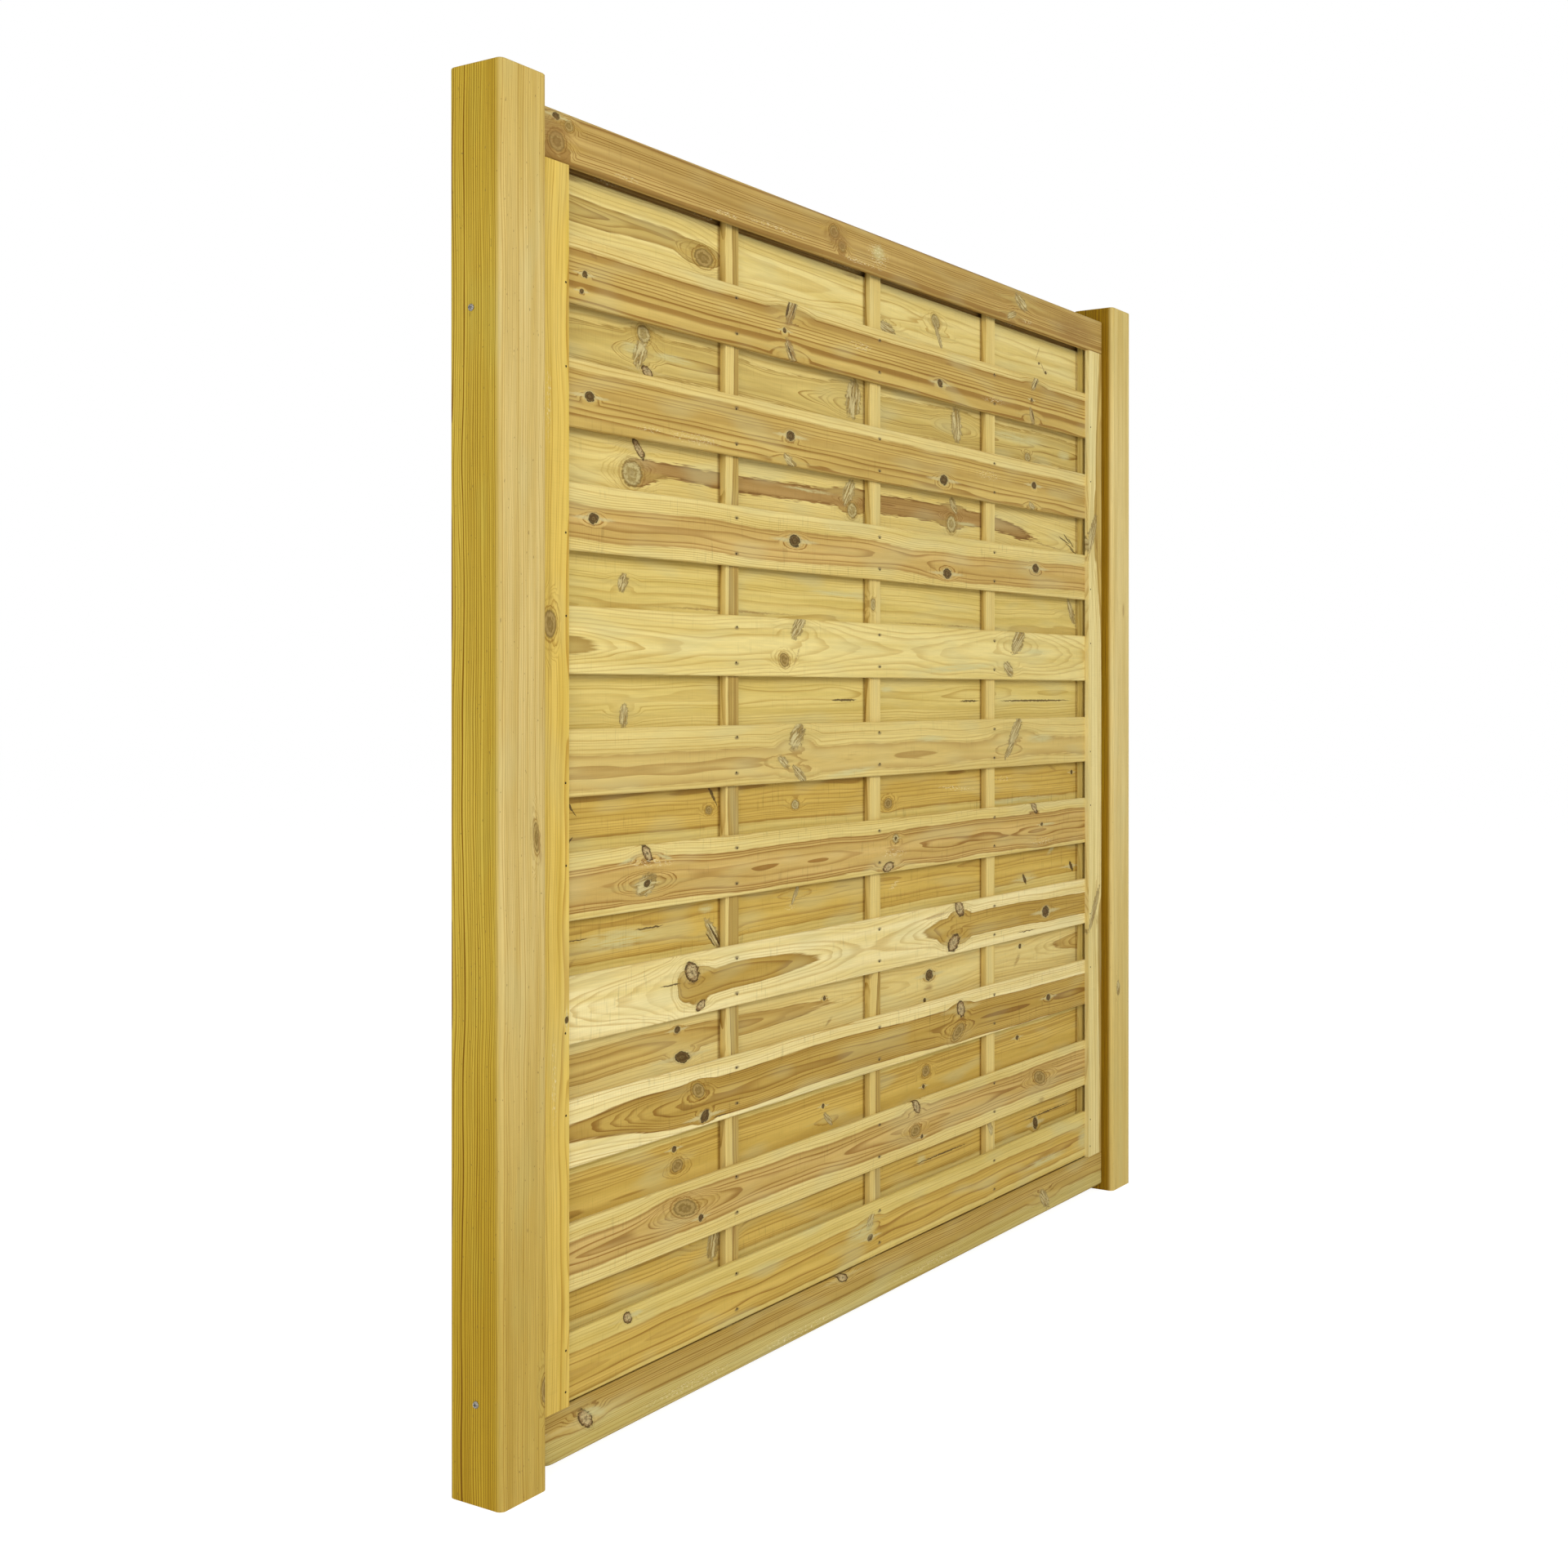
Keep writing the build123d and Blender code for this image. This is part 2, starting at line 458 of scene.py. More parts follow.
SAP_LINE: Colour = (0.67, 0.54, 0.34)
HEART_LINE: Colour = (0.55, 0.42, 0.28)
FLANK_LINE: Colour = (0.48, 0.37, 0.14)
# Painted shade towards the foot and top of a post: darker and more yellow-green.
POST_END_SHADE: Colour = (0.85, 0.78, 0.46)
PATCH_GREEN: Colour = (0.54, 0.50, 0.25)
# Brown round each brad: rust stain and painted shade of its sunk hole.
BRAD_STAIN_AND_HOLE_SHADE: Colour = (0.16, 0.11, 0.05)
# Painted shade for the back slats, in the corner beside each batten.
RECESS_SHADE: Colour = (0.36, 0.28, 0.16)
SPECK: Colour = (0.20, 0.13, 0.04)


class Lie(Enum):
    """Which way a stick of timber runs."""

    LEVEL = "along X"
    UPRIGHT = "along Z"


@dataclass(frozen=True)
class Pith:
    """Where the heart of the tree runs behind a board's face, in millimetres."""

    along: float
    across: float
    depth: float


HeartLine = tuple[Pith, ...]


@dataclass(frozen=True)
class TimberFinish:
    """How one stick of timber looks: its tone, growth rings, heartwood, marks, tool traces and painted
    light and shade.
    """

    tone: Tone
    path: HeartLine
    heart: float
    marks: tuple[Mark, ...] = ()
    ring_gap: float = 3.8
    ring_strength: float = 0.6
    ragged: float = 3.0
    sway: float = 1.0
    planing: float = 0.5
    greenness: float = 0.25
    specks: float = 0.0
    damp: float = 0.0
    flank: Optional[Colour] = None
    brads: bool = False
    painted_recess_shade: bool = False


@dataclass(frozen=True)
class BattenGrid:
    """Where the middle battens stand along the panel, in millimetres."""

    edge: float
    middle: float
    pitch: float

    @classmethod
    def of_frame(cls) -> "BattenGrid":
        """Measure the first two battens of the frame."""
        low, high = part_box("middle_batten_1")
        following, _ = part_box("middle_batten_2")
        return cls(low.x * MM, (low.x + high.x) / 2 * MM, (following.x - low.x) * MM)


class TimberRecipe(Recipe):
    """Builds the nodes of one stick of timber.

    Sizes are in millimetres. A grain is how long, wide and deep a variation is. A reach, edge, start or
    shade says where an effect starts and where it is full.
    """

    PATH_DEPTH = 250.0
    PATH_REACH = 160.0
    WOBBLE = (4.5, 3.5, 0.0)
    BOARD_SHIFT = (1731.0, 97.0, 61.0)
    MOTTLE_GRAIN = (8.0, 4.5, 8.0)
    RIPPLE_GRAIN = (120.0, 8.0, 8.0)
    STREAK_GRAIN = (420.0, 15.0, 15.0)
    FIBRE_GRAIN = (42.0, 2.0, 2.0)
    TEAR_GRAIN = (5.0, 34.0, 34.0)
    PATCH_GRAIN = (130.0, 34.0, 34.0)
    FLECK_GRAIN = (6.0, 1.4, 1.4)
    SPECK_GRAIN = (5.0, 2.4, 2.4)
    SWAY_LENGTH, SWAY_WIDTH = 330.0, 10.0
    LEAN_LENGTH, LEAN_DEPTH = 290.0, 8.0
    RING_UNEVENNESS = 15.0
    RIPPLE = 2.2
    KNOT_REACH = (3.4, 2.1)
    KNOT_PUSH = 1.5
    HEART_RIM, HEART_BLUR = 5.0, 0.9
    SIDE_EDGE = (1.5, 0.5)
    FLANK_START = (2.0, 13.0)
    FOOT_SHADE = (900.0, 150.0)
    TOP_SHADE = (1500.0, 1820.0, 0.6)
    BRAD_REACH = (5.0, 1.0)
    SHADE_REACH = (9.0, 0.5)
    KNIFE_PITCH, KNIFE_DEPTH = 3.7, 0.045
    TEAR_SHADE = 0.18
    BUMP = {"Strength": 0.35, "Distance": 0.0004}
    MATT = 0.74
    SHEEN = 0.12

    def __init__(self, node: str, look: TimberFinish, lie: Lie, seed: int) -> None:
        """Start a timber material.

        Args:
            node: the CAD node that it dresses.
            look: how the timber looks.
            lie: which way it runs.
            seed: tells its chance variation from that of other boards.
        """
        super().__init__(bpy.data.materials.new(f"{node}_timber"))
        self.look = look
        self.seed = seed
        low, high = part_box(node)
        centre = (low + high) / 2
        half = (high - low) / 2
        x, y, z = self.parts(self.node("ShaderNodeTexCoord", {}, {}, "Object"))
        if lie is Lie.LEVEL:
            self.along, self.across = x * MM, (z - centre.z) * MM
            self.half_width = half.z * MM
        else:
            self.along, self.across = z * MM, (x - centre.x) * MM
            self.half_width = half.x * MM
        self.start = look.path[0].along
        self.span = look.path[-1].along - self.start
        self.behind = (y - low.y) * MM
        flat = self.joined(self.along, self.across, self.behind)
        self.place = self.vector("ADD", flat, tuple(seed * shift for shift in self.BOARD_SHIFT))
        self.mottle = self.noise(self.place, self.MOTTLE_GRAIN, 1.0, "Color")
        wobble = self.vector("SUBTRACT", self.mottle, (0.5, 0.5, 0.5))
        on_face = self.joined(self.along, self.across, 1.0)
        self.spot_place = self.vector("MULTIPLY_ADD", wobble, self.WOBBLE, on_face)

    def spot(self, mark: Mark) -> Field:
        """Squared distance from a mark's middle, one at its outline."""
        long_way, wide_way = mark.ways()
        inputs = {"Place": self.spot_place, "Long": long_way, "Wide": wide_way}
        return self.node("ShaderNodeGroup", {"node_tree": spot_group()}, inputs)

    def growth(self) -> Field:
        """Distance from the heart of the tree, pushed out round each knot."""
        look = self.look
        run = (self.along - self.start) / self.span
        steps = [(point.along - self.start) / self.span for point in look.path]
        reach = [point.across / (2 * self.PATH_REACH) + 0.5 for point in look.path]
        sink = [point.depth / self.PATH_DEPTH for point in look.path]
        across = (self.curve(run, list(zip(steps, reach))) - 0.5) * (2 * self.PATH_REACH)
        depth = self.curve(run, list(zip(steps, sink))) * self.PATH_DEPTH
        sway = self.run(self.along / self.SWAY_LENGTH + self.seed * 3.7, 1.0)
        lean = self.run(self.along / self.LEAN_LENGTH + self.seed * 5.3, 1.0)
        sideways = self.across - across + (sway - 0.5) * (self.SWAY_WIDTH * look.sway)
        inwards = self.behind - depth + (lean - 0.5) * (self.LEAN_DEPTH * look.sway)
        ripple = self.noise(self.place, self.RIPPLE_GRAIN, 0.0)
        distance = (sideways * sideways + inwards * inwards).root() + (ripple - 0.5) * self.RIPPLE
        for mark in look.marks:
            knot = KNOT_FINISHES.get(mark.kind)
            if knot:
                here = self.spot(mark.spread(*self.KNOT_REACH))
                distance = distance - here.ease(1.0, 0.0, knot.bulge * mark.width + self.KNOT_PUSH)
        return distance

    def ring_lines(self, distance: Field) -> Field:
        """Late-wood lines: each ring darkens slowly, then stops."""
        unevenness = self.run(distance / self.RING_UNEVENNESS + self.seed * 1.9, 1.0)
        rings = distance / self.look.ring_gap + unevenness * 3.0
        step = rings.fraction()
        line = step.ease(0.45, 0.92) * step.ease(1.0, 0.95)
        return line * (self.run(rings.whole() * 0.73 + self.seed * 2.3) * 1.6)

    def wood(self, distance: Field, lines: Field, streak: Field, fibre: Field) -> Field:
        """Colour of the clear wood.

        Args:
            distance: distance from the heart of the tree.
            lines: strength of the late-wood lines.
            streak: long soft variation.
            fibre: fine variation along the grain.

        Returns:
            The colour.
        """
        look, tone = self.look, self.look.tone
        sap = self.mix(streak.ease(0.3, 0.75), tone.sap_light, tone.sap_deep)
        sap = self.mix(lines * look.ring_strength, sap, SAP_LINE, "MULTIPLY")
        if not look.heart:
            return sap
        edge = distance + (fibre - 0.5) * look.ragged
        heart = self.mix(streak.ease(0.25, 0.7), tone.heart_light, tone.heart_deep)
        heart = self.mix(lines * (1.35 * look.ring_strength), heart, HEART_LINE, "MULTIPLY")
        rim = edge.ease(look.heart - self.HEART_RIM, look.heart - 0.5, 0.45)
        heart = self.mix(rim, heart, HEART_LINE, "MULTIPLY")
        return self.mix(edge.ease(look.heart + self.HEART_BLUR, look.heart - self.HEART_BLUR), sap, heart)

    def side_and_end_shading(self, wood: Field, lines: Field) -> Field:
        """Paint light and shade, with a change of tone, on the left side face, and paint shade near the
        foot and top of a post.

        Args:
            wood: the colour under it.
            lines: strength of the late-wood lines.

        Returns:
            The new colour.
        """
        look = self.look
        # Painted light and shade on the left side face: brighter and yellower on the near post, darker on
        # the far post and the battens.
        if look.flank:
            side = self.across.ease(*(edge - self.half_width for edge in self.SIDE_EDGE))
            flank = side * self.behind.ease(*self.FLANK_START)
            wood = self.mix(flank, wood, look.flank, "MULTIPLY")
            wood = self.mix(flank * lines, wood, FLANK_LINE, "MULTIPLY")
        # Painted shade: a post darkens and yellows towards its foot and its top.
        if look.damp:
            damp = self.along.ease(*self.FOOT_SHADE) + self.along.ease(*self.TOP_SHADE)
            wood = self.mix(damp * look.damp, wood, POST_END_SHADE, "MULTIPLY")
        return wood

    def knot(self, wood: Field, mark: Mark) -> Field:
        """Draw one knot over the wood.

        Args:
            wood: the colour under it.
            mark: the knot.

        Returns:
            The new colour.
        """
        long_way, wide_way = mark.ways()
        level_way, upright_way = mark.spread(1.0, 1.0).ways()
        inputs = {
            "Wood": wood, "Seed": mark.along, "Place": self.spot_place, "Chance": self.mottle,
            "Long": long_way, "Wide": wide_way, "Level": level_way, "Upright": upright_way,
        }
        return self.node("ShaderNodeGroup", {"node_tree": knot_group(mark.kind)}, inputs)

    def smears(self, wood: Field, fibre: Field) -> Field:
        """Draw stains, flecks and splits over the wood.

        Args:
            wood: the colour under them.
            fibre: fine variation along the grain.

        Returns:
            The new colour.
        """
        for kind, look in SMEAR_FINISHES.items():
            marks = [mark for mark in self.look.marks if mark.kind is kind]
            if not marks:
                continue
            away = self.spot(marks[0])
            for mark in marks[1:]:
                away = away.least(self.spot(mark))
            amount = away.root().ease(look.edge, look.full, look.strength)
            if kind is MarkKind.FLECK:
                amount = amount * self.noise(self.place, self.FLECK_GRAIN).ease(0.55, 0.68)
            elif kind is not MarkKind.SPLIT:
                amount = amount * fibre.ease(0.2, 0.6)
            wood = self.mix(amount, wood, look.colour)
        return wood

    def brad_marks_and_recess_shade(self, wood: Field) -> Field:
        """Darken the wood round each sunk brad, with rust stain and painted shade of its hole, and paint
        shade in the corner beside each batten.
        """
        grid = BattenGrid.of_frame()
        # Rust stain and painted shade of the sunk hole, round each brad.
        if self.look.brads:
            along = ((self.along - grid.middle) / grid.pitch + 0.5).fraction() * grid.pitch - grid.pitch / 2
            across = self.across.size() - Brads.SPREAD * MM
            away = (along * along * 0.35 + across * across * 1.6).root()
            wood = self.mix(away.ease(*self.BRAD_REACH, 0.75), wood, BRAD_STAIN_AND_HOLE_SHADE)
        # Painted shade: the back slat darkens where the batten and the front slats shade it.
        if self.look.painted_recess_shade:
            beside = (1.0 - ((self.along - grid.edge) / grid.pitch).fraction()) * grid.pitch
            wood = self.mix(beside.ease(*self.SHADE_REACH, 0.9), wood, RECESS_SHADE, "MULTIPLY")
        return wood

    def build(self) -> bpy.types.Material:
        """Make the whole material.

        Returns:
            The finished material.
        """
        look = self.look
        distance = self.growth()
        lines = self.ring_lines(distance)
        streak = self.noise(self.place, self.STREAK_GRAIN)
        fibre = self.noise(self.place, self.FIBRE_GRAIN)
        tears = self.noise(self.place, self.TEAR_GRAIN)
        patch = self.noise(self.place, self.PATCH_GRAIN, 0.0)
        wood = self.wood(distance, lines, streak, fibre)
        wood = self.mix(patch.ease(0.52, 0.8, look.greenness), wood, PATCH_GREEN)
        wood = self.side_and_end_shading(wood, lines)
        for mark in look.marks:
            if mark.kind in KNOT_FINISHES:
                wood = self.knot(wood, mark)
        wood = self.brad_marks_and_recess_shade(self.smears(wood, fibre))
        if look.specks:
            specks = self.noise(self.place, self.SPECK_GRAIN, 0.0)
            wood = self.mix(specks.ease(0.80, 0.87, look.specks), wood, SPECK)
        # Painted shade: planer ripples are darkened in the colour in place of their relief; torn grain
        # darkens as rough fibre and painted shade.
        knives = (self.along * (math.tau / self.KNIFE_PITCH)).sine() * self.KNIFE_DEPTH
        planing_shade = (knives + tears.ease(0.57, 0.78, self.TEAR_SHADE)) * patch.ease(0.7, 0.3, look.planing)
        wood = self.scaled(wood, (fibre - 0.5) * 0.25 - planing_shade + 1.0)
        bump = self.node("ShaderNodeBump", {}, {**self.BUMP, "Height": fibre})
        rough = self.MATT - lines * 0.12 + (fibre - 0.5) * 0.16
        inputs = {"Base Color": wood, "Roughness": rough, "Normal": bump, "Specular IOR Level": self.SHEEN}
        return self.finish(self.node("ShaderNodeBsdfPrincipled", {}, inputs))


def curved(*points: Triple) -> HeartLine:
    """A heart line through points, from one end of a stick of timber to the other."""
    return tuple(Pith(*point) for point in points)


def heart_line(
    start: float, end: float, across: float, depth: float, rise: float = 0.0, dive: float = 0.0
) -> HeartLine:
    """A heart line that runs straight.

    Args:
        start: where the stick starts.
        end: where it ends.
        across: how far the line lies off the middle of the face at mid length.
        depth: its depth behind the face at mid length.
        rise: how far it moves across from end to end.
        dive: how much it gains in depth from end to end.

    Returns:
        The points of the line.
    """
    return curved(
        (start, across - rise / 2, depth - dive / 2),
        ((start + end) / 2, across, depth),
        (end, across + rise / 2, depth + dive / 2),
    )


def timber(tone: Tone, path: HeartLine, heart: float, *marks: Mark, **traits: Any) -> TimberFinish:
    """How a stick of timber looks, with its marks listed one by one."""
    return TimberFinish(tone, path, heart, marks, **traits)


HALF_PANEL = 900.0
POST_HEIGHT = 1840.0
straight = partial(heart_line, -HALF_PANEL, HALF_PANEL)
upright = partial(heart_line, 0.0, POST_HEIGHT)
slat = partial(timber, brads=True)
back_slat = partial(timber, painted_recess_shade=True)

# Slats from the top down. Each mark gives its place along and across, length, width and turn.
FRONT_SLATS: tuple[TimberFinish, ...] = (
    slat(
        HONEY, straight(-62, 62, 6, 4), 111.0,
        dark(-786, -3, 11, 9), dark(-793, -27, 8, 7), spike(-274, 33, 46, 24, 60),
        split(-284, 34, 34, 6, 66), split(-266, 36, 30, 4, 62), stain(-276, 24, 64, 24, 62),
        dark(-293, -2, 10, 9), spike(-276, -33, 40, 20, -50), stain(-274, -30, 56, 18, -58),
        split(-278, -32, 30, 4, -55), dark(213, -17, 18, 13, -20), stain(244, 22, 36, 5),
        dark(583, 1, 8, 7), spike(598, 36, 40, 16, 45), split(602, 35, 28, 4, 55),
        spike(585, -32, 34, 16, -60), stain(586, -30, 44, 14, -60), split(589, -29, 28, 4, -62),
        fleck(420, -20, 110, 16), fleck(-60, 8, 90, 16), stain(-768, 26, 24, 7, -20),
        ring_gap=5.2, ring_strength=0.95, planing=0.4, sway=0.3,
    ),
    slat(
        HONEY, straight(-52, 58, -6, 8), 97.5,
        dark(-776, -1, 19, 13), dark(-276, 1, 22, 15), dark(227, -22, 27, 17), dark(593, 1, 19, 13),
        spike(-278, -39, 36, 14, -25), spike(584, -40, 26, 12, -20), fleck(-533, -32, 150, 20),
        fleck(402, 3, 110, 22), fleck(-640, -30, 70, 12),
        ring_gap=5.4, ring_strength=0.75, planing=0.5, sway=0.3,
    ),
    slat(
        TAN,
        curved((-900, -6, 15), (-300, -5, 13), (20, -6, 16), (120, -8, 19), (230, -10, 13), (900, -4, 11)),
        28.0,
        dark(-768, 0, 20, 14), dark(-264, 3, 30, 18), dark(239, -23, 28, 17), dark(600, 6, 26, 16),
        fleck(-150, 32, 50, 10),
        ring_strength=0.8, planing=1.0,
    ),
    slat(
        STRAW,
        curved((-900, -8, 14), (-500, -4, 34), (-260, 8, 36), (100, 0, 52), (520, 10, 40), (900, 0, 60)),
        22.0,
        spike(-254, 33, 46, 24, 42), ringed(-294, -20, 27, 20, -20), stain(-258, -14, 44, 6, 60),
        spike(524, 28, 62, 34, 40), spike(483, -26, 40, 22, -25), green(285, -26, 430, 16, 3),
        green(600, 10, 160, 16),
        ring_gap=5.0, planing=0.35,
    ),
    slat(
        BUTTER, straight(-12, 34, 6, 4), 40.0,
        spike(-257, 26, 46, 32, 38), spike(-296, -13, 34, 14, -30), spike(-250, -34, 42, 16, -35),
        spike(512, 22, 72, 26, 48), spike(486, -14, 44, 16, 40), green(620, 6, 150, 22),
        green(-90, -36, 200, 14, 4), green(180, 14, 140, 15),
        ring_gap=4.6, ring_strength=0.6, planing=0.5, sway=0.7,
    ),
    slat(
        TAN, straight(-7, 24, 2, -4), 40.0,
        bark(-648, 34, 30, 15, -48), spike(-650, -11, 48, 26, 12), dark(-648, -9, 14, 9, 20),
        pale(55, 11, 20, 15), dark(55, 11, 8, 6), bark(30, -36, 36, 15, 10), bark(594, 39, 34, 15, -40),
        dark(628, 3, 11, 7), green(-690, 27, 60, 8, 12), green(-606, 26, 50, 7, -14),
        fleck(50, -14, 100, 20), fleck(630, -30, 120, 18), fleck(-640, 20, 130, 16, -4),
        green(660, 2, 70, 7),
        ring_strength=0.85, planing=0.9,
    ),
    slat(
        CHESTNUT,
        curved(
            (-900, -4, 62), (-596, -2, 36), (-548, -4, 13), (-400, 2, 14), (-190, 1, 23), (-20, 0, 34),
            (140, 1, 23), (290, 2, 8), (600, 0, 6), (900, 0, 8),
        ),
        23.0,
        bark(-540, 19, 36, 26, -35), bark(-518, -33, 24, 13, 20), bark(286, 36, 36, 24, -40),
        bark(264, -25, 44, 27, 20), dark(645, -4, 28, 21), split(-592, 6, 60, 2),
        stain(200, 30, 130, 6, 3), split(560, -34, 90, 2),
        ring_gap=5.0, planing=1.0,
    ),
    slat(
        CHESTNUT,
        curved(
            (-900, 2, 33), (-760, 0, 29), (-560, -6, 14), (-300, -6, 12), (0, -5, 16), (260, -8, 12),
            (600, -12, 8), (900, -16, 8),
        ),
        33.0,
        ringed(-524, 9, 31, 20, -25), dark(-508, -32, 23, 15, 30), bark(292, 18, 33, 25, -45),
        ringed(282, -22, 46, 22, 20), dark(658, -9, 17, 12), fleck(632, 38, 70, 16),
        split(-470, -38, 40, 2),
        ring_strength=0.8, planing=1.0,
    ),
    slat(
        TAN,
        curved(
            (-900, -3, 24), (-700, 0, 20), (-560, 4, 10), (-300, 4, 20), (120, 2, 12), (500, 3, 16),
            (900, 2, 10),
        ),
        31.0,
        ringed(-557, 10, 56, 23, -13), dark(-518, -13, 11, 10), bark(127, 36, 34, 18, -45),
        ringed(124, -6, 32, 19), ringed(619, 5, 50, 23, -16), dark(147, -21, 9, 7),
        stain(626, -40, 34, 12),
        ring_strength=0.8, planing=0.7,
    ),
    slat(
        OLIVE, straight(-8, 26, 8, 4), 38.0,
        bark(-693, 33, 20, 14, -35), green(-674, 34, 40, 10), spike(-31, 15, 30, 18, 50),
        dark(-31, -11, 16, 11), green(828, -6, 70, 60), green(-60, 4, 120, 40), green(640, -16, 240, 18),
        ring_strength=0.5, planing=0.4, greenness=0.4, sway=0.6,
    ),
)

BACK_SLATS: tuple[TimberFinish, ...] = (
    back_slat(
        STRAW, curved((-900, 3, 12), (-560, 0, 17), (-430, -2, 30), (0, 4, 42), (900, 4, 46)), 21.0,
        ringed(-483, -10, 46, 26), pale(232, 10, 30, 21, -30), spike(242, -14, 48, 12, -55),
        spike(58, -30, 50, 20, -10), stain(650, 14, 44, 5, 55), stain(672, -10, 44, 5, -45),
        dark(656, -5, 6, 5), dark(686, -19, 7, 6), stain(-60, 40, 90, 8), stain(-800, 40, 80, 8),
        ring_gap=5.0, planing=0.3,
    ),
    back_slat(
        MOSS,
        curved((-900, -9, 25), (-640, -2, 18), (-300, -4, 20), (-60, -8, 12), (300, -4, 14), (900, -2, 18)),
        34.0,
        pale(-630, 25, 30, 24, -20), green(-662, 2, 46, 20), spike(-639, -4, 40, 28, 70),
        bark(-622, -27, 26, 13, -20), spike(-54, 6, 62, 44, 80), spike(311, 4, 60, 38, 100),
        pale(605, -24, 24, 16), green(-560, 0, 120, 14), green(560, 8, 300, 26), green(770, -4, 70, 24),
        ragged=12.0, planing=0.4, greenness=0.4,
    ),
    back_slat(
        BAND_RED,
        curved(
            (-900, 2, 40), (-700, -8, 34), (-650, -7, 12), (-590, 0, 11), (-100, 0, 11), (-20, 4, 8),
            (60, 5, 4), (330, 3, 7), (450, 2, 11), (560, -8, 14), (620, -14, 17), (900, -20, 30),
        ),
        17.0,
        pale(-657, -10, 44, 36), bark(-642, 27, 36, 13, -45), spike(-68, 14, 46, 30, 55),
        pale(-57, -15, 30, 25), spike(300, 22, 34, 18, -40), pale(292, -12, 34, 30),
        green(350, -8, 110, 9), green(-190, 7, 190, 7), split(772, -10, 60, 3, -14),
        split(800, -22, 50, 3, -18), split(815, -30, 40, 3, -18), split(786, -6, 40, 4, -30),
        split(806, -14, 34, 4, -34), stain(690, -26, 190, 4, -4),
        ragged=14.0, planing=0.5, greenness=0.35,
    ),
    back_slat(
        OLIVE, straight(-34, 40, 6, 10), 0.0,
        spike(-678, 1, 26, 20, 60), spike(806, 12, 56, 20, -55), green(-100, 10, 220, 12),
        stain(-420, -30, 500, 4), stain(250, -32, 420, 4),
        ring_gap=4.4, planing=0.4, greenness=0.4,
    ),
    back_slat(
        OLIVE, straight(8, 28, 8, 8), 20.0,
        spike(-676, -20, 32, 19, 82), split(-83, 0, 92, 4), split(362, -3, 84, 4), split(643, -3, 350, 4),
        green(60, 18, 60, 12),
        ring_gap=4.4, planing=0.4,
    ),
    back_slat(
        OLIVE, straight(34, 30, -6, 4), 66.0,
        split(-803, 30, 44, 5, -38), split(-796, 24, 50, 3, -44), split(-803, -30, 44, 5, 38),
        split(-464, 28, 40, 5, -55), split(-456, 20, 40, 3, -60), ringed(-470, 2, 17, 12),
        pale(-232, -1, 22, 15), ringed(63, -13, 26, 18), fleck(310, 4, 170, 12, -4),
        fleck(500, 14, 80, 12), dark(808, 16, 9, 8), stain(716, 28, 50, 9, -20), green(560, -30, 420, 14),
        ring_gap=4.4, ring_strength=0.5, planing=1.0, sway=0.5,
    ),
    back_slat(
        OLIVE, straight(24, 28, 10, -4), 58.0,
        split(-616, 7, 75, 3), split(-784, 6, 60, 2), spike(-458, -19, 60, 18, -50),
        split(-455, -20, 56, 5, -50), split(-466, -26, 40, 3, -46), spike(-232, 22, 36, 9, 55),
        green(-478, 22, 44, 16), green(-690, -2, 230, 40), stain(-800, -30, 50, 8, 35),
        fleck(-245, 2, 40, 10), fleck(84, 10, 44, 12, 20), green(712, 30, 50, 12, 25),
        dark(592, -20, 24, 9, -50), dark(806, -10, 24, 9, -50),
        ring_gap=4.4, ring_strength=0.5, planing=1.0, greenness=0.35, sway=0.5,
    ),
    back_slat(
        HONEY,
        curved((-900, -2, 12), (-560, 0, 14), (-200, 0, 24), (100, 0, 28), (500, 4, 34), (900, 0, 14)),
        25.0,
        dark(-549, 17, 13, 10), dark(-537, -25, 34, 16, -10), dark(-144, 10, 8, 7), dark(209, 5, 24, 19),
        stain(206, -18, 40, 16), dark(572, 17, 11, 9), stain(560, -8, 40, 14, 40), dark(192, -38, 9, 8),
        stain(-130, -30, 30, 8, 30),
        planing=0.5,
    ),
    back_slat(
        OLIVE, straight(-30, 32, 8, 4), 62.0,
        dark(-557, 10, 10, 8), ringed(-549, -16, 27, 18), spike(-133, -24, 34, 10, -40),
        ringed(197, 1, 26, 19), dark(560, 7, 12, 9), dark(-148, 0, 8, 7), dark(188, -25, 9, 8),
        ring_gap=4.2, ring_strength=0.55, planing=0.5, greenness=0.35, sway=0.5,
    ),
    back_slat(
        OLIVE, straight(30, 30, -8, 4), 62.0,
        spike(-457, 10, 56, 28, 75), split(254, -2, 230, 3), split(694, -4, 240, 3),
        dark(640, -18, 18, 24, 30), green(180, 2, 40, 20),
        ring_gap=4.4, ring_strength=0.5, planing=0.8, greenness=0.3, sway=0.5,
    ),
)

TOP_RAIL = timber(
    RAIL_BROWN, straight(-84, 46, 6, -6), 150.0,
    ringed(-855, -9, 30, 26), ringed(-830, 17, 18, 14), dark(-857, 24, 13, 9), ringed(-160, 10, 26, 19),
    ringed(-135, -9, 20, 16), stain(-150, 1, 90, 50), fleck(-705, -25, 60, 10), fleck(-465, -25, 90, 10),
    fleck(-70, -24, 150, 10), fleck(-20, -2, 80, 50), green(-18, 2, 50, 30), fleck(-330, -18, 200, 10),
    stain(760, -6, 240, 60), spike(519, 10, 50, 22, -20), spike(480, -20, 36, 12, 20),
    stain(370, 5, 290, 3), fleck(545, -23, 60, 10), stain(485, -33, 40, 10), stain(-858, -2, 70, 60),
    ring_gap=5.6, ring_strength=0.85, planing=0.4, greenness=0.15, sway=0.3,
)
